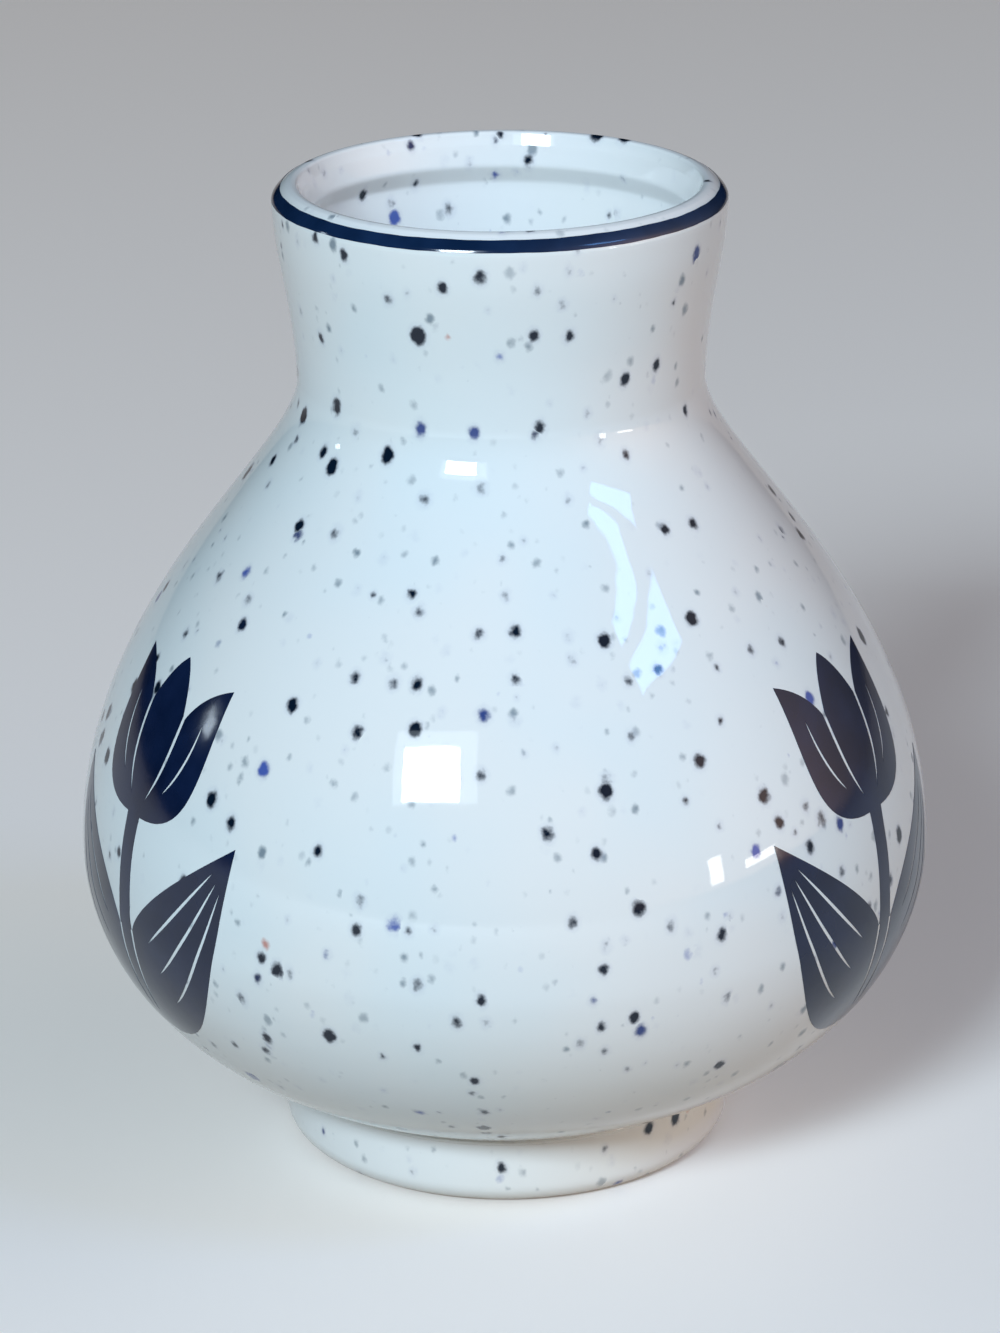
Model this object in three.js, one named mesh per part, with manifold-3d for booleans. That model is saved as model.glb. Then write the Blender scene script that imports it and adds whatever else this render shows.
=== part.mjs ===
// A small porcelain vase: round belly, short flared neck, low foot ring,
// a painted line round the lip and fired-on plant transfers round the belly.
// Millimetres, +Z up. The origin is the centre of the foot ring's underside,
// and the front of the vase faces -Y.
import * as THREE from 'three';
import { mergeVertices } from 'three/addons/utils/BufferGeometryUtils.js';
import Module from 'manifold-3d';

// Driving dimensions of the pot
const HEIGHT = 100;
const WALL = 2.4;
const FOOT_HEIGHT = 7.6;
const FOOT_RADIUS = 23.1;       // where the ring meets the underside
const FOOT_TAPER = 0.1;         // how much narrower the ring is at the bottom
const FOOT_RING_WIDTH = 4.6;
const FOOT_EDGE_ROUND = 2.4;
const FOOT_BEAD_RADIUS = 0.3;   // a bead of glaze round the top of the ring
const FOOT_INNER_ROUND = 0.7;
const FOOT_INNER_TAPER = 1.2;   // the recess narrows by this much towards the base
const UNDERSIDE_RISE = 3.25;    // dish of the underside, from its centre to the ring
const UNDERSIDE_SLOPE = THREE.MathUtils.degToRad(22); // of the outside, where it leaves the ring
const BELLY_RADIUS = 43.1;
const BELLY_HEIGHT = 32.1;
const SHOULDER_RADIUS = 29.9;   // where the shoulder is steepest inward
const SHOULDER_HEIGHT = 64.5;
const SHOULDER_SLOPE = THREE.MathUtils.degToRad(53.3);
const WAIST_RADIUS = 20.2;
const WAIST_HEIGHT = 80.5;
const MOUTH_RADIUS = 22.35;
const LIP_HEIGHT = 1.8;         // from the outer edge of the lip up to its crest
const LIP_BEVEL = 2;            // how far the crest lies inside the outer edge
const LIP_CURVE = 0.6;
const COLLAR_WIDTH = 3.1;       // thickness of the lip and the collar under it
const COLLAR_HEIGHT = 3.1;
const COLLAR_UNDERCUT = 0.9;    // height of the slope under the collar

// Fullness of the outline: the lengths of its curves' handles
const UNDERSIDE_HANDLE = 18.5;
const BELLY_HANDLE_DOWN = 6;
const BELLY_HANDLE_UP = 14;
const SHOULDER_HANDLE_DOWN = 8.1;
const SHOULDER_HANDLE_UP = 9.6;
const WAIST_HANDLE_DOWN = 4.1;
const WAIST_HANDLE_UP = 6.2;
const MOUTH_HANDLE = 4.3;

// Decoration
const SEAT_GAP = 0.05;          // between a solid and what it is fixed to
const FILM_THICKNESS = 0.15;
const RIM_LINE_START = 0.1;     // share of the lip's outer curve below the line
const RIM_LINE_END = 0.57;
const SPRIG_SPACING = THREE.MathUtils.degToRad(60);
const SPRIG_PLACES = 6;         // places round the belly, with the front one left clear
const SPRIG_CENTRE_HEIGHT = 38;
const BUD_CENTRE_HEIGHT = 30;
const FLOWER_SPRIG = {
  height: 38,
  leafSpan: 31,
  leafTipHeight: 24,
  leafJoinHeight: 11,
  flowerWidth: 17,
  flowerHeight: 15,
  petalDrop: 1,       // how far the side petals' tips lie below the middle one's
  stemWidth: 2.4,
};
const BUD_SPRIG = {
  height: 22,
  leafSpan: 15,
  leafTipHeight: 12,
  leafJoinHeight: 6,
  flowerWidth: 8,
  flowerHeight: 9,
  petalDrop: 1,
  stemWidth: 1.6,
};

// How a sprig's curves swing, as shares of the lengths they belong to, right and up
const LEAF_ROOT = [0.75, 0];          // the leaf's outer edge, near its root
const LEAF_SIDE = [1, 0.45];          // and near its tip
const LEAF_INNER_TIP = [0.6, 0.8];    // the leaf's inner edge, near its tip
const LEAF_INNER_JOIN = 1.3;          // and above its join with the stem
const LEAF_JOIN_ROUND = 1;            // in millimetres
const CUP_FOOT = [1.25, 0];           // the flower's outer edge, near its foot
const CUP_SIDE = [1, 0.5];            // and at half height
const PETAL_INNER = [0.55, 0.85];     // the side petal's inner edge
const NOTCH = [0.4, 0.65];            // where the side petal and the middle one part
const CROWN_SIDE = [0.25, 0.9];       // the middle petal's edge

// Resolution
const SEGMENTS = 64;
const LONG_CURVE_STEPS = 8;
const SHORT_CURVE_STEPS = 4;
const ROUND_STEPS = 4;
const SPRIG_CURVE_STEPS = 5;
const MERGE_DISTANCE = 1e-5;

const lipBase = HEIGHT - LIP_HEIGHT;
const crestRadius = MOUTH_RADIUS - LIP_BEVEL;
const mouthInnerRadius = MOUTH_RADIUS - COLLAR_WIDTH;
const footBottomRadius = FOOT_RADIUS - FOOT_TAPER;
const footInnerRadius = FOOT_RADIUS - FOOT_RING_WIDTH;
const undersideRadius = (FOOT_RADIUS ** 2 + UNDERSIDE_RISE ** 2) / (2 * UNDERSIDE_RISE);

const glaze = new THREE.MeshStandardMaterial({ color: 0xe6e9ec, roughness: 0.12, metalness: 0 });
const navy = new THREE.MeshStandardMaterial({ color: 0x1b2143, roughness: 0.15, metalness: 0 });

const wasm = await Module();
wasm.setup();

function point(radius, height) {
  return new THREE.Vector2(radius, height);
}

// A point at a distance from another, along a slope above the horizontal
function along(start, slope, distance) {
  return point(start.x + Math.cos(slope) * distance, start.y + Math.sin(slope) * distance);
}

// The dished underside, a shallow arc, as a height for each radius
function undersideHeight(radius) {
  const drop = undersideRadius - Math.sqrt(undersideRadius ** 2 - radius ** 2);
  return FOOT_HEIGHT - UNDERSIDE_RISE + drop;
}

function undersidePoints(fromRadius, toRadius, steps) {
  const points = [];
  for (let i = 0; i <= steps; i += 1) {
    const radius = THREE.MathUtils.lerp(fromRadius, toRadius, i / steps);
    points.push(point(radius, undersideHeight(radius)));
  }
  return points;
}

// From the ring's seat up over the belly, the shoulder and the neck to the lip
function outerCurves() {
  const seat = point(FOOT_RADIUS, FOOT_HEIGHT);
  const belly = point(BELLY_RADIUS, BELLY_HEIGHT);
  const shoulder = point(SHOULDER_RADIUS, SHOULDER_HEIGHT);
  const waist = point(WAIST_RADIUS, WAIST_HEIGHT);
  const mouth = point(MOUTH_RADIUS, lipBase);
  const upward = Math.PI / 2;
  const inward = Math.PI - SHOULDER_SLOPE;
  return [
    new THREE.CubicBezierCurve(
      seat,
      along(seat, UNDERSIDE_SLOPE, UNDERSIDE_HANDLE),
      along(belly, upward, -BELLY_HANDLE_DOWN),
      belly,
    ),
    new THREE.CubicBezierCurve(
      belly,
      along(belly, upward, BELLY_HANDLE_UP),
      along(shoulder, inward, -SHOULDER_HANDLE_DOWN),
      shoulder,
    ),
    new THREE.CubicBezierCurve(
      shoulder,
      along(shoulder, inward, SHOULDER_HANDLE_UP),
      along(waist, upward, -WAIST_HANDLE_DOWN),
      waist,
    ),
    new THREE.CubicBezierCurve(
      waist,
      along(waist, upward, WAIST_HANDLE_UP),
      along(mouth, upward, -MOUTH_HANDLE),
      mouth,
    ),
  ];
}

function outerPoints() {
  const steps = [LONG_CURVE_STEPS, LONG_CURVE_STEPS, LONG_CURVE_STEPS, SHORT_CURVE_STEPS];
  const points = [];
  outerCurves().forEach((curve, i) => {
    const more = curve.getPoints(steps[i]);
    points.push(...(i === 0 ? more : more.slice(1)));
  });
  return points;
}

// The lip's softly bevelled outer side, from its outer edge to the crest
function lipCurve() {
  return new THREE.CubicBezierCurve(
    point(MOUTH_RADIUS, lipBase),
    point(MOUTH_RADIUS, lipBase + LIP_CURVE),
    point(crestRadius + LIP_CURVE, HEIGHT),
    point(crestRadius, HEIGHT),
  );
}

// The points of an outline, each moved along its normal, to the left of the way it runs
function offsetOutline(points, distance) {
  return points.map((here, i) => {
    const before = points[Math.max(i - 1, 0)];
    const after = points[Math.min(i + 1, points.length - 1)];
    const way = after.clone().sub(before).normalize();
    return point(here.x - way.y * distance, here.y + way.x * distance);
  });
}

function revolve(points) {
  const geometry = new THREE.LatheGeometry(points, SEGMENTS);
  geometry.rotateX(Math.PI / 2);
  return geometry;
}

// A closed ring between an outline and the same outline moved out by a thickness
function film(outline) {
  const inner = offsetOutline(outline, -SEAT_GAP);
  const outer = offsetOutline(outline, -SEAT_GAP - FILM_THICKNESS);
  return revolve([...outer, ...inner.reverse(), outer[0]]);
}

function bodyGeometry() {
  const underside = undersidePoints(0, FOOT_RADIUS, SHORT_CURVE_STEPS);
  const outside = outerPoints();
  const lip = lipCurve().getPoints(SHORT_CURVE_STEPS);
  const crestRound = crestRadius - mouthInnerRadius;
  const crest = new THREE.EllipseCurve(
    crestRadius, HEIGHT - crestRound, crestRound, crestRound, Math.PI / 2, Math.PI,
  ).getPoints(ROUND_STEPS);
  const collarFoot = HEIGHT - COLLAR_HEIGHT;
  const inside = offsetOutline([...underside.slice(0, -1), ...outside], WALL)
    .filter((p) => p.y < collarFoot - COLLAR_UNDERCUT);
  inside[0].x = 0;
  return revolve([
    ...underside.slice(0, -1),
    ...outside.slice(0, -1),
    ...lip,
    ...crest.slice(1),
    point(mouthInnerRadius, collarFoot),
    ...inside.reverse(),
  ]);
}

function footRingGeometry() {
  const bottomRound = new THREE.EllipseCurve(
    footBottomRadius - FOOT_EDGE_ROUND, FOOT_EDGE_ROUND, FOOT_EDGE_ROUND, FOOT_EDGE_ROUND, -Math.PI / 2, 0,
  ).getPoints(ROUND_STEPS);
  const bead = new THREE.EllipseCurve(
    FOOT_RADIUS, FOOT_HEIGHT - SEAT_GAP - FOOT_BEAD_RADIUS, FOOT_BEAD_RADIUS, FOOT_BEAD_RADIUS,
    -Math.PI / 2, Math.PI / 2,
  ).getPoints(2 * ROUND_STEPS);
  const innerRound = new THREE.EllipseCurve(
    footInnerRadius + FOOT_INNER_ROUND, FOOT_INNER_ROUND, FOOT_INNER_ROUND, FOOT_INNER_ROUND,
    Math.PI, Math.PI * 1.5,
  ).getPoints(ROUND_STEPS);
  const seat = undersidePoints(FOOT_RADIUS, footInnerRadius - FOOT_INNER_TAPER, ROUND_STEPS)
    .map((p) => point(p.x, p.y - SEAT_GAP));
  return revolve([...bottomRound, ...bead, ...seat.slice(1), ...innerRound, bottomRound[0]]);
}

function rimLineGeometry() {
  const curve = lipCurve();
  const outline = [];
  for (let i = 0; i <= ROUND_STEPS; i += 1) {
    outline.push(curve.getPoint(THREE.MathUtils.lerp(RIM_LINE_START, RIM_LINE_END, i / ROUND_STEPS)));
  }
  return film(outline);
}

// One side of a sprig's outline, from the foot of its stem to the tip of its flower
function sprigHalf(sprig) {
  const halfStem = sprig.stemWidth / 2;
  const halfFlower = sprig.flowerWidth / 2;
  const flowerFoot = sprig.height - sprig.flowerHeight;
  const join = sprig.leafJoinHeight;
  const onLeaf = ([right, up]) => [right * sprig.leafSpan / 2, up * sprig.leafTipHeight];
  const onFlower = ([right, up]) => [right * halfFlower, flowerFoot + up * sprig.flowerHeight];
  const half = new THREE.Path();
  half.moveTo(0, 0);
  half.bezierCurveTo(...onLeaf(LEAF_ROOT), ...onLeaf(LEAF_SIDE), ...onLeaf([1, 1]));
  half.bezierCurveTo(
    ...onLeaf(LEAF_INNER_TIP), halfStem + LEAF_JOIN_ROUND, join * LEAF_INNER_JOIN, halfStem, join,
  );
  half.lineTo(halfStem, flowerFoot);
  half.bezierCurveTo(
    ...onFlower(CUP_FOOT), ...onFlower(CUP_SIDE), halfFlower, sprig.height - sprig.petalDrop,
  );
  half.quadraticCurveTo(...onFlower(PETAL_INNER), ...onFlower(NOTCH));
  half.quadraticCurveTo(...onFlower(CROWN_SIDE), 0, sprig.height);
  return half.getPoints(SPRIG_CURVE_STEPS);
}

// A sprig's outline, pushed out level from the vase's axis through the front of the belly
function sprigPrism(sprig, centreHeight) {
  const right = sprigHalf(sprig);
  const left = right.slice(1, -1).map((p) => point(-p.x, p.y)).reverse();
  const throughBelly = BELLY_RADIUS * 2;
  const prism = new THREE.ExtrudeGeometry(new THREE.Shape([...right, ...left]), {
    depth: throughBelly,
    bevelEnabled: false,
  });
  prism.rotateX(Math.PI / 2);
  prism.translate(0, 0, centreHeight - sprig.height / 2);
  return prism;
}

function toSolid(geometry) {
  const bare = geometry.clone();
  bare.deleteAttribute('normal');
  bare.deleteAttribute('uv');
  const merged = mergeVertices(bare, MERGE_DISTANCE);
  return new wasm.Manifold(new wasm.Mesh({
    numProp: 3,
    vertProperties: new Float32Array(merged.attributes.position.array),
    triVerts: new Uint32Array(merged.index.array),
  }));
}

function toGeometry(solid) {
  const mesh = solid.getMesh();
  const geometry = new THREE.BufferGeometry();
  geometry.setAttribute('position', new THREE.BufferAttribute(mesh.vertProperties, 3));
  geometry.setIndex(new THREE.BufferAttribute(mesh.triVerts, 1));
  geometry.computeVertexNormals();
  return geometry;
}

function addPiece(name, geometry, material) {
  const mesh = new THREE.Mesh(geometry, material);
  mesh.name = name;
  vase.add(mesh);
}

const vase = new THREE.Group();
addPiece('body', bodyGeometry(), glaze);
addPiece('foot_ring', footRingGeometry(), glaze);
addPiece('rim_line', rimLineGeometry(), navy);

// Flower sprigs take the odd places round the belly and bud sprigs the even ones
const bellyFilm = toSolid(film(outerPoints()));
for (let place = 1; place < SPRIG_PLACES; place += 1) {
  const flowering = place % 2 === 1;
  const sprig = flowering ? FLOWER_SPRIG : BUD_SPRIG;
  const height = flowering ? SPRIG_CENTRE_HEIGHT : BUD_CENTRE_HEIGHT;
  const prism = sprigPrism(sprig, height);
  prism.rotateZ(place * SPRIG_SPACING);
  const transfer = toGeometry(bellyFilm.intersect(toSolid(prism)));
  addPiece(`${flowering ? 'flower' : 'bud'}_transfer_${Math.ceil(place / 2)}`, transfer, navy);
}

export default vase;
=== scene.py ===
"""A small speckled porcelain vase with a navy lip line and fired-on plant transfers, in soft window light."""

import math
from bisect import bisect

import bpy
from mathutils import Matrix, Quaternion, Vector
from mathutils.geometry import delaunay_2d_cdt


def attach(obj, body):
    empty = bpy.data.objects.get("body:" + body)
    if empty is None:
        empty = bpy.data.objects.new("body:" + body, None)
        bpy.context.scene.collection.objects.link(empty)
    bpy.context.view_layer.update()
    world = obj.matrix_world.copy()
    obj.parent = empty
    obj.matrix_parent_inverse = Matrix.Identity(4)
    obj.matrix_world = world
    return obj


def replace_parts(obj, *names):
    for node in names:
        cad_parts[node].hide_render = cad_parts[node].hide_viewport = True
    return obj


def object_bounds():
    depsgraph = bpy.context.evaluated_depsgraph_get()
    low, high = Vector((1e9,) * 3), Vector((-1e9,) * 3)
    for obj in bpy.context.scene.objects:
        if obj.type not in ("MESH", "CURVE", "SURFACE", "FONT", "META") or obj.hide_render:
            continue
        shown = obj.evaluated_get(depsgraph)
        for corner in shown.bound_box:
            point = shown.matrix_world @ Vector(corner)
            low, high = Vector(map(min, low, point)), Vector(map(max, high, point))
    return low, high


MM = 0.001
DEG = math.radians(1)

# The camera, where the photograph was taken from. Its place is in metres and its angles in radians
IMAGE_HEIGHT_PX = 1333
SENSOR_MM = 36
FOCAL_PX = 4511.6
CAMERA_PLACE = (0, -0.4289, 0.20726)
CAMERA_PITCH = 0.3528
CAMERA_TURN = 0.0008
CAMERA_ROLL = -0.0079
CAMERA_CLIP = 0.01

# The turned pieces. A point of an outline is a radius and a height
TURN_STEPS = 256
SPLINE_STEPS = 5
CORNER_ANGLE = 28 * DEG
CORNER_ROUND = 0.25 * MM
CORNER_REACH = 1 / 3
TOUCHING = 1e-6
PLACE_DIGITS = 7

# The flat bevel inside the lip and the collar under it, and how far along each one its points lie
LIP_BEVEL_TOP = Vector((19.76, 99.79)) * MM
LIP_BEVEL_FOOT = Vector((19.31, 98.62)) * MM
COLLAR_FOOT = Vector((18.8, 96.6)) * MM
LIP_BEVEL_SHARES = (0, 0.2, 0.8)
COLLAR_SHARES = (0, 0.4, 1)

# Fired colour on the glaze. The lip line's waver is a sum of waves, each a number round the lip and a size
FILM_LIFT = 0.01 * MM
FILM_THICKNESS = 0.03 * MM
LIP_LINE_LOW = 98.42 * MM
LIP_LINE_HIGH = 99.46 * MM
LIP_LINE_WAVER = 0.05 * MM
LIP_LINE_WAVES = ((3, 0.4), (8, 0.25), (19, 0.2), (47, 0.15))
LIP_LINE_STEPS = 8
LIP_LINE_TURN_STEPS = 2 * TURN_STEPS

# The plant sprigs round the belly, in millimetres. The first of their places, at the front, stays bare
SPRIG_PLACES = 6
SPRIG_SPACING = math.tau / SPRIG_PLACES
FLOWER_SPRIG = {
    "kind": "flower", "centre": 38, "height": 38, "leaf_span": 31, "leaf_tip": 24, "leaf_join": 11,
    "flower_width": 17, "flower_height": 15, "stem_width": 2.4, "veins": 3, "line": 0.42,
}
BUD_SPRIG = {
    "kind": "bud", "centre": 30, "height": 22, "leaf_span": 15, "leaf_tip": 12, "leaf_join": 6,
    "flower_width": 8, "flower_height": 9, "stem_width": 1.6, "veins": 1, "line": 0.24,
}

# How a leaf bends, in shares of the way to its tip. Only the neck's step out is in millimetres
LEAF_TIP = (1, 1)
LEAF_ROOT = (0.75, 0)
LEAF_SIDE = (1, 0.45)
LEAF_INNER = (0.6, 0.8)
LEAF_NECK_OUT = 1
LEAF_NECK_RISE = 1.3

# How a flower bends, in shares of half its width and of its height. Only the petal's drop is in millimetres
CUP_FOOT = (1.25, 0)
CUP_SIDE = (1, 0.5)
PETAL_DROP = 1
PETAL_INNER = (0.55, 0.85)
NOTCH = (0.4, 0.65)
CROWN_SIDE = (0.25, 0.9)
CROWN = (0, 1)

# The light lines in a sprig: their bends in the same shares, and their widths beside the sprig's full line.
# A vein starts and ends at a point of the leaf's edges, and a taper and a fullness are powers
PARTING = ((0.4, 0.71), (0.4, 0.35), (0.3, 0.25), (0.12, 0.07))
PETAL_LINE = ((0.76, 0.7), (0.78, 0.38), (0.42, 0.18))
PETAL_LINE_WIDTH = 0.7
STEM_LINE_MIDDLE = 0.4
STEM_LINE_END = (0.3, 0.1)
VEIN_WIDTH = 0.8
VEIN_START = 6
VEIN_END = 20
OPEN_TAPER = 3
POINTED_FULLNESS = 0.6
LEAST_HALF_WIDTH = 0.01

# How finely a sprig is drawn
OUTLINE_STEPS = 22
LINE_STEPS = 14
INNER_STEP = 1.1
MERGE_DISTANCE = 1e-4

# The white glaze. Sizes, radii and heights in a finish are in millimetres, and a range's ends give 0 and 1
WHITE_COOL = (0.735, 0.825, 0.845, 1)
WHITE_WARM = (0.79, 0.83, 0.825, 1)
# The paler white is partly painted light. It stands in for stronger light inside the mouth, on the lip's
# crest and on the foot ring, where the glaze also lies thick
WHITE_POOLED_AND_LIT = (0.86, 0.90, 0.895, 1)
CLOUD_SIZE = 30
CLOUD_RANGE = (0.35, 0.65)
# Where that paler white lies, as painted light: down the inside of the neck, and on the lip's crest, which
# faces up
PAINTED_LIGHT_RADII = (20.2, 19.4)
PAINTED_LIGHT_NECK_HEIGHTS = (52, 66)
PAINTED_LIGHT_LIP_HEIGHTS = (99.4, 99.8)
GLAZE_IOR = 1.46
GLAZE_ROUGHNESS = (0.015, 0.055)
GLAZE_ROUGHNESS_SIZE = 6
GLAZE_RELIEF = 0.12 * MM
WAVE_SIZE = 14
WAVE_HEIGHT = 1.2
RIPPLE_SIZE = 3.5
RIPPLE_HEIGHT = 0.12
PIT_DEPTH = 0.02
SMOOTH_DETAIL = 1
RELIEF_STRENGTH = 0.6

# Specks in the glaze, one to a cell. A radius is the least one, with more by chance and less in a bare patch.
# The higher the rarity, the fewer are the large ones
SPECK_INK = (0.003, 0.010, 0.024, 1)
SPECK_SLATE = (0.13, 0.19, 0.24, 1)
SPECK_COBALT = (0.07, 0.12, 0.42, 1)
SPECK_VIOLET = (0.16, 0.20, 0.42, 1)
SPECK_RUST = (0.50, 0.11, 0.05, 1)
FAINT_SPECKS = {
    "cell": 2.1, "shift": 17, "least": 0.05, "more": 0.27, "rarity": 1, "less": 0.20, "soft": 0.22,
}
MIDDLE_SPECKS = {
    "cell": 2.35, "shift": 53, "least": 0.02, "more": 0.52, "rarity": 1, "less": 0.24, "soft": 0.26,
}
INK_SPECKS = {
    "cell": 2.9, "shift": 109, "least": 0.10, "more": 0.80, "rarity": 1.3, "less": 0.30, "soft": 0.21,
}
SPECK_TALLNESS = 1.3
SPECK_SHAKE_SIZE = 0.7
SPECK_SHAKE = 0.55
BARE_PATCH_SIZE = 10
BARE_PATCH_RANGE = (0.36, 0.62)
FAINT_STRENGTH = (0.12, 0.36)
MIDDLE_STRENGTH = (0.45, 0.90)
MIDDLE_COBALT_RANGE = (0.90, 0.92)
MIDDLE_RUST_RANGE = (0.99, 0.992)
INK_COBALT_RANGE = (0.80, 1)
HALO_WIDTH = 0.18
HALO_SOFT = 0.4
HALO_STRENGTH = 0.2

# The foot ring's glaze, and the bare clay where its underside was wiped
BISQUE = (0.62, 0.56, 0.49, 1)
BISQUE_PALE = (0.70, 0.65, 0.58, 1)
FOOT_SHIFT = 1
FOOT_ROUGHNESS = (0.04, 0.75)
FOOT_RELIEF = 0.2 * MM
WIPED_HEIGHTS = (0.55, 0.35)
WIPED_SHAKE_SIZE = 2.5
WIPED_SHAKE = 0.5
WIPED_DEPTH = 0.15
GRIT_SIZE = 0.35
GRIT_DETAIL = 3
GRIT_RANGE = (0.4, 0.7)
GRIT_HEIGHT = 0.12

# The navy enamel of the lip line and the sprigs
NAVY = (0.003, 0.0095, 0.036, 1)
NAVY_LINE = (0.004, 0.016, 0.050, 1)
ENAMEL_PALER = 1.5
ENAMEL_LIFT = 0.002
ENAMEL_CLOUD_SIZE = 5
ENAMEL_CLOUD_DETAIL = 3
ENAMEL_CLOUD_RANGE = (0.3, 0.7)
ENAMEL_ROUGHNESS = (0.08, 0.14)
ENAMEL_ROUGHNESS_SIZE = 4
ENAMEL_IOR = 1.5
ENAMEL_RELIEF = 0.03 * MM
ENAMEL_RELIEF_SIZE = 3
ENAMEL_RELIEF_STRENGTH = 0.5

# The floor and the room. A way is in degrees, right of the front and up
FLOOR_REACH = 3
FLOOR_COLOUR = (0.39, 0.32, 0.25, 1)
FLOOR_SEEN = (0.86, 0.85, 0.82, 1)
FLOOR_LIFT = (0.14, 0.135, 0.13, 1)
ROOM_RIGHT = (0.68, 0.66, 0.63)
ROOM_RIGHT_WAY = (75, 15)
ROOM_RIGHT_FOCUS = 3
ROOM_LOW = (1.50, 0.80, 0.45)
ROOM_LOW_WAY = (70, 0)
ROOM_LOW_FOCUS = 8

# The windows and lamps. Their ways and sizes are in degrees as seen from the belly, and distances in metres
DAYLIGHT = (0.74, 0.88, 1)
SKYLIGHT = (0.15, 0.42, 1)
LAMPLIGHT = (1, 0.96, 0.9)
WINDOW_ROLL = 7.4
LAMP_DISTANCE = 1.2
SURROUND_DISTANCE = 1.25
LAMPS = (
    {"name": "window_pane", "way": (-22.6, 30.4), "wide": 15, "high": 9.9, "brightness": 58,
     "colour": DAYLIGHT, "roll": WINDOW_ROLL},
    {"name": "window_surround", "way": (-21.2, 31.9), "wide": 22.4, "high": 13.4, "brightness": 3,
     "colour": DAYLIGHT, "roll": WINDOW_ROLL, "distance": SURROUND_DISTANCE},
    {"name": "right_window_low", "way": (62, 41), "wide": 17.5, "high": 4.8, "brightness": 12,
     "colour": SKYLIGHT},
    {"name": "right_window_high", "way": (57.5, 46.6), "wide": 10.5, "high": 2.6, "brightness": 12,
     "colour": SKYLIGHT},
    {"name": "low_glint_near", "way": (56, 3), "wide": 4, "high": 6, "brightness": 12, "colour": LAMPLIGHT},
    {"name": "low_glint_far", "way": (70, 1.5), "wide": 10, "high": 2, "brightness": 10, "colour": LAMPLIGHT},
    {"name": "left_glint", "way": (-98, 15), "wide": 3, "high": 3, "brightness": 12, "colour": DAYLIGHT},
)


class Sock:
    """A shader socket that adds Math nodes when it is used in an expression."""

    def __init__(self, shader, socket):
        self.shader = shader
        self.socket = socket

    def math(self, operation, *values):
        return self.shader.node("ShaderNodeMath", {"operation": operation}, dict(enumerate(values)))

    def __add__(self, other):
        return self.math("ADD", self, other)

    def __radd__(self, other):
        return self.math("ADD", other, self)

    def __sub__(self, other):
        return self.math("SUBTRACT", self, other)

    def __rsub__(self, other):
        return self.math("SUBTRACT", other, self)

    def __mul__(self, other):
        return self.math("MULTIPLY", self, other)

    def __rmul__(self, other):
        return self.math("MULTIPLY", other, self)

    def __pow__(self, other):
        return self.math("POWER", self, other)

    def largest(self, other):
        return self.math("MAXIMUM", self, other)

    def ramp(self, start, end):
        """0 at start and 1 at end, with soft shoulders. start may be the larger."""
        settings = {"interpolation_type": "SMOOTHSTEP"}
        inputs = {"Value": self, "From Min": start, "From Max": end}
        return self.shader.node("ShaderNodeMapRange", settings, inputs)

    def between(self, low, high):
        """low where this socket is 0, and high where it is 1."""
        return low + (high - low) * self

    def output(self, name):
        """Another output of the node that this socket belongs to."""
        return Sock(self.shader, self.socket.node.outputs[name])


class Shader:
    """The node tree of a material or a world, with one method that adds any node."""

    def __init__(self, owner):
        self.owner = owner
        owner.use_nodes = True
        self.tree = owner.node_tree
        self.tree.nodes.clear()

    def node(self, kind, settings=None, inputs=None, output=0):
        made = self.tree.nodes.new(kind)
        for name, value in (settings or {}).items():
            setattr(made, name, value)
        for name, value in (inputs or {}).items():
            if isinstance(value, Sock):
                self.tree.links.new(value.socket, made.inputs[name])
            else:
                made.inputs[name].default_value = value
        return Sock(self, made.outputs[output]) if made.outputs else None

    def vector(self, operation, *values, **named):
        inputs = {**dict(enumerate(values)), **named}
        return self.node("ShaderNodeVectorMath", {"operation": operation}, inputs)

    def mix(self, factor, first, second):
        """A mixture of two colours. Inputs 6 and 7 and output 2 are the Mix node's colour sockets."""
        inputs = {0: factor, 6: first, 7: second}
        return self.node("ShaderNodeMix", {"data_type": "RGBA"}, inputs, output=2)

    def place(self):
        """The place on the object, in millimetres."""
        here = self.node("ShaderNodeTexCoord", output="Object")
        return self.vector("SCALE", here, Scale=1 / MM)

    def height(self, place):
        return self.node("ShaderNodeSeparateXYZ", None, {0: place}, output="Z")

    def noise(self, place, size, detail=2):
        """Soft noise from 0 to 1, with blobs of about a size."""
        inputs = {"Vector": place, "Scale": 1 / size, "Detail": detail}
        return self.node("ShaderNodeTexNoise", None, inputs)

    def shaken(self, place, size, amount):
        """The place, moved about by noise, so that edges drawn from it aren't clean."""
        colour = self.noise(place, size).output("Color")
        centred = self.vector("SUBTRACT", colour, (0.5, 0.5, 0.5))
        return self.vector("ADD", place, self.vector("SCALE", centred, Scale=amount))

    def shifted(self, place, amount):
        return self.vector("ADD", place, (amount, amount, amount))

    def facing(self, way, other):
        """How far a way points towards another, from 0 across it to 1 along it."""
        return self.vector("DOT_PRODUCT", way, other).output("Value").largest(0)

    def bump(self, height, distance, strength):
        inputs = {"Height": height, "Distance": distance, "Strength": strength}
        return self.node("ShaderNodeBump", None, inputs)

    def finish(self, surface, output="ShaderNodeOutputMaterial"):
        self.node(output, None, {"Surface": surface})
        return self.owner


# Finishes

def strewn(shader, place, sparse, kind):
    """Specks strewn through space: the distance to the nearest, its radius, and two chances of its own."""
    inputs = {"Vector": shader.shifted(place, kind["shift"]), "Scale": 1 / kind["cell"]}
    nearest = shader.node("ShaderNodeTexVoronoi", None, inputs)
    chance = shader.node("ShaderNodeSeparateColor", None, {0: nearest.output("Color")})
    radius = kind["least"] + kind["more"] * chance ** kind["rarity"] - kind["less"] * sparse
    return nearest * kind["cell"], radius, chance.output("Green"), chance.output("Blue")


def spots(distance, radius, soft):
    """1 inside the specks and 0 outside, with soft edges."""
    return distance.ramp(radius + soft, radius - soft)


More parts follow.
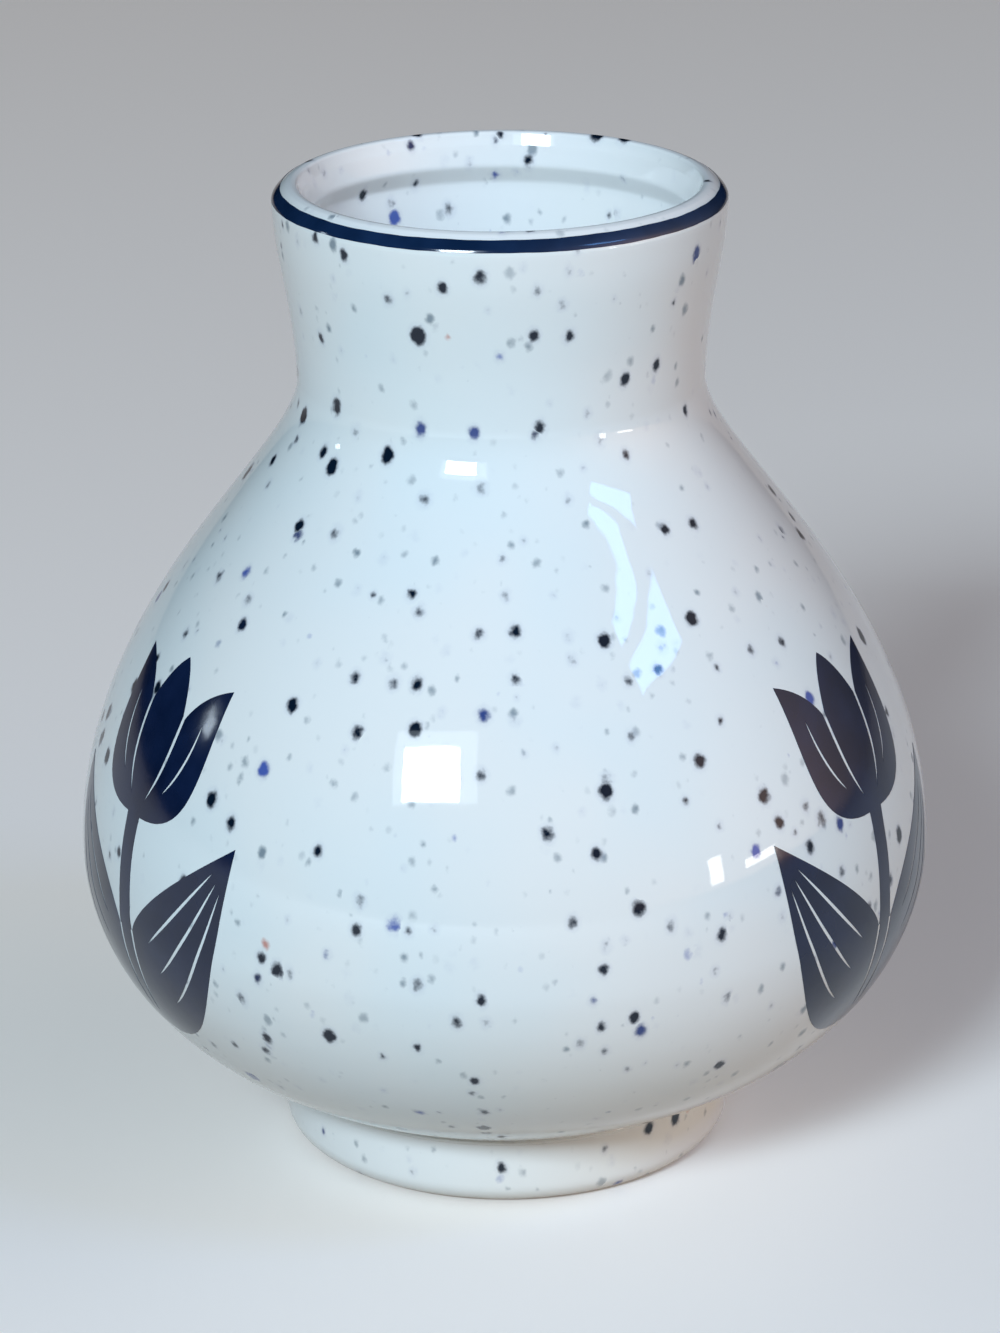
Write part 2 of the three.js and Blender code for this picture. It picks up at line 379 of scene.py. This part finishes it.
def paler_lit_mouth(shader, place):
    """Where the glaze is painted paler, as painted light for the stronger light there, and also lies thick:
    the crest of the lip and down the inside of the neck.
    """
    height = shader.height(place)
    radius = shader.vector("LENGTH", shader.vector("MULTIPLY", place, (1, 1, 0))).output("Value")
    neck = radius.ramp(*PAINTED_LIGHT_RADII) * height.ramp(*PAINTED_LIGHT_NECK_HEIGHTS)
    return neck.largest(height.ramp(*PAINTED_LIGHT_LIP_HEIGHTS))


def glaze_colour(shader, place, pooled_and_lit):
    """White glaze with specks, the small ones faint and the large ones dark, and where the dark ones are."""
    cloud = shader.noise(place, CLOUD_SIZE).ramp(*CLOUD_RANGE)
    white = shader.mix(cloud, WHITE_COOL, WHITE_WARM)
    # painted light: a paler white where the mouth, the lip's crest and the foot ring take more light
    white = shader.mix(pooled_and_lit, white, WHITE_POOLED_AND_LIT)
    sparse = 1 - shader.noise(place, BARE_PATCH_SIZE).ramp(*BARE_PATCH_RANGE)
    shaken = shader.shaken(place, SPECK_SHAKE_SIZE, SPECK_SHAKE)
    strew = shader.vector("MULTIPLY", shaken, (1, 1, 1 / SPECK_TALLNESS))

    distance, radius, depth, _ = strewn(shader, strew, sparse, FAINT_SPECKS)
    faint = spots(distance, radius, FAINT_SPECKS["soft"])
    colour = shader.mix(faint * depth.between(*FAINT_STRENGTH), white, SPECK_SLATE)

    distance, radius, depth, hue = strewn(shader, strew, sparse, MIDDLE_SPECKS)
    middle = spots(distance, radius, MIDDLE_SPECKS["soft"])
    slate = shader.mix(hue.ramp(*MIDDLE_COBALT_RANGE), SPECK_SLATE, SPECK_COBALT)
    tint = shader.mix(hue.ramp(*MIDDLE_RUST_RANGE), slate, SPECK_RUST)
    colour = shader.mix(middle * depth.between(*MIDDLE_STRENGTH), colour, tint)

    distance, radius, _, hue = strewn(shader, strew, sparse, INK_SPECKS)
    halo = spots(distance, radius + HALO_WIDTH, HALO_SOFT)
    colour = shader.mix(halo * HALO_STRENGTH, colour, SPECK_VIOLET)
    dark = spots(distance, radius, INK_SPECKS["soft"])
    ink = shader.mix(hue.ramp(*INK_COBALT_RANGE), SPECK_INK, SPECK_COBALT)
    return shader.mix(dark, colour, ink), dark


def glaze(name):
    """Glossy white, uneven by less than a tenth of a millimetre."""
    shader = Shader(bpy.data.materials.new(name))
    place = shader.place()
    colour, dark = glaze_colour(shader, place, paler_lit_mouth(shader, place))
    waves = shader.noise(place, WAVE_SIZE, SMOOTH_DETAIL) * WAVE_HEIGHT
    ripples = shader.noise(place, RIPPLE_SIZE, SMOOTH_DETAIL) * RIPPLE_HEIGHT
    height = waves + ripples - dark * PIT_DEPTH
    surface = shader.node("ShaderNodeBsdfPrincipled", None, {
        "Base Color": colour,
        "Roughness": shader.noise(place, GLAZE_ROUGHNESS_SIZE).between(*GLAZE_ROUGHNESS),
        "IOR": GLAZE_IOR,
        "Normal": shader.bump(height, GLAZE_RELIEF, RELIEF_STRENGTH),
    })
    return shader.finish(surface)


def foot_glaze(name):
    """The glaze, with the ring's underside wiped bare to the clay."""
    shader = Shader(bpy.data.materials.new(name))
    place = shader.place()
    # the whole ring takes the paler white, as painted light for the light that falls on the foot
    colour, dark = glaze_colour(shader, shader.shifted(place, FOOT_SHIFT), 1)
    level = shader.height(shader.shaken(place, WIPED_SHAKE_SIZE, WIPED_SHAKE))
    bare = level.ramp(*WIPED_HEIGHTS)
    grit = shader.noise(place, GRIT_SIZE, GRIT_DETAIL)
    clay = shader.mix(grit.ramp(*GRIT_RANGE), BISQUE, BISQUE_PALE)
    height = bare * grit * GRIT_HEIGHT - bare * WIPED_DEPTH - dark * PIT_DEPTH
    surface = shader.node("ShaderNodeBsdfPrincipled", None, {
        "Base Color": shader.mix(bare, colour, clay),
        "Roughness": bare.between(*FOOT_ROUGHNESS),
        "IOR": GLAZE_IOR,
        "Normal": shader.bump(height, FOOT_RELIEF, RELIEF_STRENGTH),
    })
    return shader.finish(surface)


def fired_navy(name, base):
    """Glossy navy enamel, a little uneven in depth."""
    shader = Shader(bpy.data.materials.new(name))
    place = shader.place()
    cloud = shader.noise(place, ENAMEL_CLOUD_SIZE, ENAMEL_CLOUD_DETAIL).ramp(*ENAMEL_CLOUD_RANGE)
    paler = (*(ENAMEL_PALER * part + ENAMEL_LIFT for part in base[:3]), 1)
    relief = shader.noise(place, ENAMEL_RELIEF_SIZE)
    surface = shader.node("ShaderNodeBsdfPrincipled", None, {
        "Base Color": shader.mix(cloud, base, paler),
        "Roughness": shader.noise(place, ENAMEL_ROUGHNESS_SIZE).between(*ENAMEL_ROUGHNESS),
        "IOR": ENAMEL_IOR,
        "Normal": shader.bump(relief, ENAMEL_RELIEF, ENAMEL_RELIEF_STRENGTH),
    })
    return shader.finish(surface)


def floor_paper(name):
    """Paper that throws a little warm light on the object. To the eye and in reflections it is paler."""
    shader = Shader(bpy.data.materials.new(name))
    rays = shader.node("ShaderNodeLightPath")
    reflected = rays.output("Is Glossy Ray") + rays.output("Is Transmission Ray")
    seen = rays.output("Is Camera Ray") + reflected
    warm = shader.node("ShaderNodeBsdfDiffuse", None, {"Color": FLOOR_COLOUR})
    pale = shader.node("ShaderNodeBsdfDiffuse", None, {"Color": FLOOR_SEEN})
    lift = shader.node("ShaderNodeEmission", None, {"Color": FLOOR_LIFT})
    lifted = shader.node("ShaderNodeAddShader", None, {0: pale, 1: lift})
    return shader.finish(shader.node("ShaderNodeMixShader", None, {0: seen, 1: warm, 2: lifted}))


# Flat curves

def curve(start, first, second, end, steps=OUTLINE_STEPS):
    """Points of a Bezier curve from start up to, but without, end."""
    points = []
    for i in range(steps):
        t = i / steps
        s = 1 - t
        points.append(s ** 3 * start + 3 * s * s * t * first + 3 * s * t * t * second + t ** 3 * end)
    return points


def bend(start, middle, end, steps=OUTLINE_STEPS):
    """Points of a curve with one bend, from start up to, but without, end."""
    return curve(start, start.lerp(middle, 2 / 3), end.lerp(middle, 2 / 3), end, steps)


def spline(before, start, end, after, steps):
    """Points of a smooth curve from start up to, but without, end. The points beside it give its slopes."""
    third = (end - start).length / 3
    leaving = (end - before).normalized() * third
    arriving = (after - start).normalized() * third
    return curve(start, start + leaving, end - arriving, end, steps)


# Outlines of the turned pieces, read from the frame

def seam_outline(node):
    """A CAD node's turned outline, as it runs in front of the axis, and whether it is closed."""
    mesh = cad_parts[node].data
    seam = {}
    for vertex in mesh.vertices:
        x, y, z = vertex.co
        if abs(x) < TOUCHING and y < TOUCHING:
            seam[vertex.index] = (round(-y, PLACE_DIGITS), round(z, PLACE_DIGITS))
    near = {}
    for edge in mesh.edges:
        first, second = (seam.get(i) for i in edge.vertices)
        if first and second and first != second:
            near.setdefault(first, set()).add(second)
            near.setdefault(second, set()).add(first)
    ends = sorted((p for p in near if len(near[p]) == 1), key=lambda p: p[1])
    start = ends[0] if ends else min(near, key=lambda p: (p[1], -p[0]))
    outline = [start]
    here = min(near[start], key=lambda p: -p[0])
    while here is not None and here != start:
        outline.append(here)
        onward = [p for p in near[here] if p not in outline[-2:]]
        here = onward[0] if onward else None
    return [Vector(p) for p in outline], not ends


def is_corner(before, here, after):
    return (here - before).angle(after - here) > CORNER_ANGLE


def smooth_outline(points, closed):
    """The outline as a fine smooth one, with its corners softly rounded, as glaze leaves them."""
    count = len(points)
    ring = [points[-1], *points, points[0], points[1]]
    if not closed:
        ring = [2 * points[0] - points[1], *points, 2 * points[-1] - points[-2]]
    rounds = []
    for i in range(count):
        before, here, after = ring[i:i + 3]
        rounded = is_corner(before, here, after) and (closed or 0 < i < count - 1)
        shortest = min((here - before).length, (after - here).length)
        rounds.append(min(CORNER_ROUND, shortest * CORNER_REACH) if rounded else 0)
    rounds.append(rounds[0])
    made = []
    for i in range(count if closed else count - 1):
        before, start, end, after = ring[i:i + 4]
        way = (end - start).normalized()
        if rounds[i]:
            turned_from = (start - before).normalized()
            # the start of the round, and its middle, between the corner and the chord that cuts it off
            middle = start + (way - turned_from) * rounds[i] / 4
            made += [start - turned_from * rounds[i], middle]
            start = start + way * rounds[i]
        if rounds[i + 1]:
            end = end - way * rounds[i + 1]
        if rounds[i]:
            before = 2 * start - end
        if rounds[i + 1]:
            after = 2 * end - start
        made += spline(before, start, end, after, SPLINE_STEPS)
    if not closed:
        made.append(points[-1])
    widest = max(point.x for point in points)
    low = min(point.y for point in points)
    high = max(point.y for point in points)
    for point in made:
        point.x = min(max(point.x, 0), widest)
        point.y = min(max(point.y, low), high)
    return made


def crest_of(outline):
    """The number of an outline's highest point."""
    return max(range(len(outline)), key=lambda i: outline[i].y)


def bevelled(points):
    """The pot's outline with a flat bevel inside its lip, which mirrors the window, and a leaning collar."""
    past_crest = crest_of(points) + 1
    below = next(i for i in range(past_crest, len(points)) if points[i].y < COLLAR_FOOT.y)
    bevel = [LIP_BEVEL_TOP.lerp(LIP_BEVEL_FOOT, share) for share in LIP_BEVEL_SHARES]
    collar = [LIP_BEVEL_FOOT.lerp(COLLAR_FOOT, share) for share in COLLAR_SHARES]
    return points[:past_crest + 1] + bevel + collar + points[below:]


# Meshes

def new_object(name, mesh, material):
    piece = bpy.data.objects.new(name, mesh)
    bpy.context.scene.collection.objects.link(piece)
    mesh.materials.append(material)
    mesh.shade_smooth()
    return piece


def turned(name, outline, closed, material):
    """An outline turned round the vase's axis. Its ends may lie on the axis."""
    vertices = []
    rings = []
    for radius, height in outline:
        if radius < TOUCHING:
            rings.append([len(vertices)] * TURN_STEPS)
            vertices.append((0, 0, height))
            continue
        rings.append(list(range(len(vertices), len(vertices) + TURN_STEPS)))
        for step in range(TURN_STEPS):
            angle = math.tau * step / TURN_STEPS
            vertices.append((radius * math.cos(angle), radius * math.sin(angle), height))
    last = rings[:1] if closed else []
    faces = []
    for low, high in zip(rings, rings[1:] + last):
        for step in range(TURN_STEPS):
            onward = (step + 1) % TURN_STEPS
            corners = [low[step], low[onward], high[onward], high[step]]
            faces.append(list(dict.fromkeys(corners)))
    mesh = bpy.data.meshes.new(name)
    mesh.from_pydata(vertices, [], faces)
    return new_object(name, mesh, material)


class Skin:
    """The outer side of the pot, from the middle of its underside to the crest of its lip."""

    def __init__(self, outline):
        crest = crest_of(outline)
        self.points = outline[:crest + 1]
        self.heights = [point.y for point in self.points]
        self.normals = []
        for i in range(crest + 1):
            way = outline[i + 1] - outline[max(i - 1, 0)]
            self.normals.append(Vector((way.y, -way.x)).normalized())

    def at(self, height):
        """The point of the outline at a height, and the outward normal there."""
        i = bisect(self.heights, height)
        share = (height - self.heights[i - 1]) / (self.heights[i] - self.heights[i - 1])
        point = self.points[i - 1].lerp(self.points[i], share)
        normal = self.normals[i - 1].lerp(self.normals[i], share)
        return point, normal.normalized()

    def place(self, across, height):
        """The point at a height that is this far right of the front's middle, and the normal there."""
        point, normal = self.at(height)
        depth = -math.sqrt(point.x ** 2 - across ** 2)
        out = Vector((across, depth, 0)) / point.x
        return Vector((across, depth, height)), out * normal.x + Vector((0, 0, normal.y))


def film(name, places, faces, material):
    """A thin closed sheet of colour on the pot. places has a point of the pot and its normal per vertex."""
    count = len(places)
    vertices = [point + normal * (FILM_LIFT + FILM_THICKNESS) for point, normal in places]
    vertices += [point + normal * FILM_LIFT for point, normal in places]
    sides = {side for face in faces for side in zip(face, face[1:] + face[:1])}
    walls = [(b, a, a + count, b + count) for a, b in sides if (b, a) not in sides]
    walls.sort()
    backs = [[vertex + count for vertex in reversed(face)] for face in faces]
    mesh = bpy.data.meshes.new(name)
    mesh.from_pydata(vertices, [], [*faces, *backs, *walls])
    piece = new_object(name, mesh, material)
    # the top has the pot's own normals, so that it shines like the glaze beside it
    normals = []
    for polygon in mesh.polygons:
        for vertex in polygon.vertices:
            on_top = polygon.index < len(faces)
            normals.append(places[vertex][1] if on_top else polygon.normal.copy())
    mesh.normals_split_custom_set(normals)
    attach(piece, "root")
    return piece


# The lip line

def waver(angle, start):
    """An uneven run between about -1 and 1, the same after each turn."""
    return sum(math.sin(times * angle + start * times) * size for times, size in LIP_LINE_WAVES)


def add_lip_line(skin, material):
    """The hand-banded line on the lip's outer slope, with slightly uneven edges."""
    places = []
    faces = []
    row = LIP_LINE_STEPS + 1
    for step in range(LIP_LINE_TURN_STEPS):
        angle = math.tau * step / LIP_LINE_TURN_STEPS
        low = LIP_LINE_LOW + LIP_LINE_WAVER * waver(angle, 1)
        high = LIP_LINE_HIGH + LIP_LINE_WAVER * waver(angle, 2)
        turn = Matrix.Rotation(angle, 3, "Z")
        for i in range(row):
            point, normal = skin.place(0, low + (high - low) * i / LIP_LINE_STEPS)
            places.append((turn @ point, turn @ normal))
        onward = (step + 1) % LIP_LINE_TURN_STEPS
        for i in range(LIP_LINE_STEPS):
            faces.append([step * row + i, onward * row + i, onward * row + i + 1, step * row + i + 1])
    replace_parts(film("lip_line", places, faces, material), "rim_line")


# The plant sprigs, drawn flat in millimetres: right of the stem, and up from its foot

def mirrored(points):
    return [Vector((-point.x, point.y)) for point in points]


def on_leaf(sprig, shares):
    """The point of the right leaf at some shares of the way out and up to its tip."""
    return Vector((shares[0] * sprig["leaf_span"] / 2, shares[1] * sprig["leaf_tip"]))


def on_flower(sprig, shares):
    """The point of the flower at some shares of half its width and of its height."""
    foot = sprig["height"] - sprig["flower_height"]
    return Vector((shares[0] * sprig["flower_width"] / 2, foot + shares[1] * sprig["flower_height"]))


def light_line(middle, width, open_start):
    """The outline of a light line along some points. Its ends are pointed, but for an open start."""
    left = []
    right = []
    last = len(middle) - 1
    for i, here in enumerate(middle):
        share = i / last
        way = (middle[min(i + 1, last)] - middle[max(i - 1, 0)]).normalized()
        fullness = 1 - share ** OPEN_TAPER if open_start else math.sin(math.pi * share) ** POINTED_FULLNESS
        half = Vector((-way.y, way.x)) * width / 2 * fullness
        left.append(here + half)
        if half.length > LEAST_HALF_WIDTH:
            right.append(here - half)
    return left + right[::-1]


def leaf_edges(sprig):
    """The outer and inner edges of the right leaf, each from its root up to, but without, its tip."""
    tip = on_leaf(sprig, LEAF_TIP)
    neck = Vector((sprig["stem_width"] / 2, sprig["leaf_join"]))
    leaving = Vector((neck.x + LEAF_NECK_OUT, LEAF_NECK_RISE * neck.y))
    outer = curve(Vector((0, 0)), on_leaf(sprig, LEAF_ROOT), on_leaf(sprig, LEAF_SIDE), tip)
    inner = curve(neck, leaving, on_leaf(sprig, LEAF_INNER), tip)
    return outer, inner


def sprig_half(sprig):
    """One side of a sprig's outline, from the foot of its stem to the tip of its flower."""
    outer, inner = leaf_edges(sprig)
    cup = Vector((sprig["stem_width"] / 2, sprig["height"] - sprig["flower_height"]))
    petal = Vector((sprig["flower_width"] / 2, sprig["height"] - PETAL_DROP))
    notch = on_flower(sprig, NOTCH)
    crown = on_flower(sprig, CROWN)
    return [
        *outer,
        on_leaf(sprig, LEAF_TIP),
        *inner[::-1],
        *curve(cup, on_flower(sprig, CUP_FOOT), on_flower(sprig, CUP_SIDE), petal),
        *bend(petal, on_flower(sprig, PETAL_INNER), notch),
        *bend(notch, on_flower(sprig, CROWN_SIDE), crown),
        crown,
    ]


def sprig_lines(sprig):
    """The light lines that part a sprig's petals, leaves and stem."""
    stem = sprig["stem_width"] / 2
    join = sprig["leaf_join"]
    width = sprig["line"]
    parting = curve(*(on_flower(sprig, shares) for shares in PARTING), LINE_STEPS)
    petal_line = bend(*(on_flower(sprig, shares) for shares in PETAL_LINE), LINE_STEPS)
    stem_top = Vector((stem, join + width))
    stem_middle = Vector((stem, STEM_LINE_MIDDLE * join))
    stem_end = Vector((STEM_LINE_END[0] * stem, STEM_LINE_END[1] * join))
    lines = [
        light_line(parting, width, True),
        light_line(petal_line, PETAL_LINE_WIDTH * width, False),
        light_line(bend(stem_top, stem_middle, stem_end, LINE_STEPS), width, True),
    ]
    outer, inner = leaf_edges(sprig)
    for i in range(sprig["veins"]):
        share = (i + 1) / (sprig["veins"] + 1)
        vein = [a.lerp(b, share) for a, b in zip(outer, inner)]
        lines.append(light_line(vein[VEIN_START:VEIN_END], VEIN_WIDTH * width, False))
    return lines + [mirrored(line) for line in lines]


def is_inside(point, loop):
    """Whether a point lies within a closed outline, told by how often a level line from it crosses that."""
    within = False
    for a, b in zip(loop, loop[1:] + loop[:1]):
        if (a.y > point.y) != (b.y > point.y):
            if point.x < a.x + (point.y - a.y) / (b.y - a.y) * (b.x - a.x):
                within = not within
    return within


def filled(outline, lines):
    """Flat points and triangles that fill an outline but for its light lines."""
    points = []
    sides = []
    for loop in [outline, *lines]:
        count = len(loop)
        sides += [(len(points) + i, len(points) + (i + 1) % count) for i in range(count)]
        points += loop
    wide = max(point.x for point in outline)
    tall = max(point.y for point in outline)
    # inner points, every second column half a step up, let the triangles follow the belly's curve
    for i in range(round(2 * wide / INNER_STEP) + 1):
        for j in range(round(tall / INNER_STEP) + 1):
            points.append(Vector((i * INNER_STEP - wide, (j + i % 2 / 2) * INNER_STEP)))
    corners, _, triangles, _, _, _ = delaunay_2d_cdt(points, sides, [], 0, MERGE_DISTANCE)
    kept = []
    for triangle in triangles:
        middle = sum((corners[i] for i in triangle), Vector((0, 0))) / 3
        if is_inside(middle, outline) and not any(is_inside(middle, line) for line in lines):
            kept.append(triangle)
    used = sorted({i for triangle in kept for i in triangle})
    order = {old: new for new, old in enumerate(used)}
    return [corners[i] for i in used], [[order[i] for i in triangle] for triangle in kept]


def flat_sprig(sprig):
    right = sprig_half(sprig)
    outline = right + mirrored(right[1:-1])[::-1]
    return filled(outline, sprig_lines(sprig))


def add_sprig(sprig, number, shape, turn, skin, material):
    """A sprig fired on the belly: laid level on the front of the pot, then turned to its place."""
    points, triangles = shape
    foot = sprig["centre"] - sprig["height"] / 2
    turned_to = Matrix.Rotation(turn, 3, "Z")
    places = []
    for point in points:
        spot, normal = skin.place(point.x * MM, (foot + point.y) * MM)
        places.append((turned_to @ spot, turned_to @ normal))
    kind = sprig["kind"]
    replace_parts(film(f"{kind}_{number}", places, triangles, material), f"{kind}_transfer_{number}")


# Stage, camera and light

def add_floor():
    mesh = bpy.data.meshes.new("floor")
    corners = [(-1, -1), (1, -1), (1, 1), (-1, 1)]
    mesh.from_pydata([(x * FLOOR_REACH, y * FLOOR_REACH, 0) for x, y in corners], [], [(0, 1, 2, 3)])
    new_object("floor", mesh, floor_paper("floor_paper"))


def add_camera():
    data = bpy.data.cameras.new("camera")
    data.sensor_width = SENSOR_MM
    data.lens = FOCAL_PX * SENSOR_MM / IMAGE_HEIGHT_PX
    data.clip_start = CAMERA_CLIP
    camera = bpy.data.objects.new("camera", data)
    turn = Matrix.Rotation(CAMERA_TURN, 4, "Z")
    tilt = Matrix.Rotation(90 * DEG - CAMERA_PITCH, 4, "X")
    roll = Matrix.Rotation(CAMERA_ROLL, 4, "Z")
    camera.matrix_world = Matrix.Translation(CAMERA_PLACE) @ turn @ tilt @ roll
    bpy.context.scene.collection.objects.link(camera)
    bpy.context.scene.camera = camera


def towards(way):
    """A way, in degrees right of the front and up, as a unit vector."""
    right, up = (angle * DEG for angle in way)
    level = math.cos(up)
    return Vector((math.sin(right) * level, -math.cos(right) * level, math.sin(up)))


def add_lamp(name, way, wide, high, brightness, colour, roll=0, distance=LAMP_DISTANCE):
    """A glowing rectangle that faces the middle of the vase."""
    data = bpy.data.lights.new(name, "AREA")
    data.shape = "RECTANGLE"
    data.size = 2 * distance * math.tan(wide / 2 * DEG)
    data.size_y = 2 * distance * math.tan(high / 2 * DEG)
    data.energy = brightness * math.pi * data.size * data.size_y
    data.color = colour
    lamp = bpy.data.objects.new(name, data)
    out = towards(way)
    aim = Vector((0, 0, cad_box[1].z / 2))
    lamp.location = aim + out * distance
    lamp.rotation_mode = "QUATERNION"
    lamp.rotation_quaternion = (-out).to_track_quat("-Z", "Y") @ Quaternion((0, 0, 1), roll * DEG)
    bpy.context.scene.collection.objects.link(lamp)


def add_world():
    """A dim room with some light from the right, warm near the floor."""
    shader = Shader(bpy.data.worlds.new("room"))
    way = shader.node("ShaderNodeTexCoord", output="Generated")
    to_right = shader.facing(way, towards(ROOM_RIGHT_WAY)) ** ROOM_RIGHT_FOCUS
    to_low = shader.facing(way, towards(ROOM_LOW_WAY)) ** ROOM_LOW_FOCUS
    right = shader.vector("SCALE", ROOM_RIGHT, Scale=to_right)
    low = shader.vector("SCALE", ROOM_LOW, Scale=to_low)
    room = shader.node("ShaderNodeBackground", None, {"Color": shader.vector("ADD", right, low)})
    bpy.context.scene.world = shader.finish(room, "ShaderNodeOutputWorld")


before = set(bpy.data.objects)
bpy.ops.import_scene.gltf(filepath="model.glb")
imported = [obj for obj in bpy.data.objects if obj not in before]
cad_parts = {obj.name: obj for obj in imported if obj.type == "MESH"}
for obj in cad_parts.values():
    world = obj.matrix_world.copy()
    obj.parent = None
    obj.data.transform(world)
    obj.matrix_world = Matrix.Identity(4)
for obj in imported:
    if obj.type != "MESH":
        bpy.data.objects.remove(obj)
cad_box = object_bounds()

# The vase
body_points, _ = seam_outline("body")
body_outline = smooth_outline(bevelled(body_points), False)
foot_outline = smooth_outline(*seam_outline("foot_ring"))
pot_skin = Skin(body_outline)

pot = turned("pot", body_outline, False, glaze("speckled_glaze"))
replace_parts(pot, "body")
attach(pot, "root")
foot = turned("foot", foot_outline, True, foot_glaze("foot_glaze"))
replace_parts(foot, "foot_ring")
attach(foot, "root")

add_lip_line(pot_skin, fired_navy("lip_line_blue", NAVY_LINE))
navy = fired_navy("navy_enamel", NAVY)
shapes = [(sprig, flat_sprig(sprig)) for sprig in (BUD_SPRIG, FLOWER_SPRIG)]
for place in range(1, SPRIG_PLACES):
    sprig, shape = shapes[place % 2]
    add_sprig(sprig, (place + 1) // 2, shape, place * SPRIG_SPACING, pot_skin, navy)

# The room round it
add_floor()
add_camera()
add_world()
for lamp in LAMPS:
    add_lamp(**lamp)
bpy.context.scene.view_settings.view_transform = "Standard"
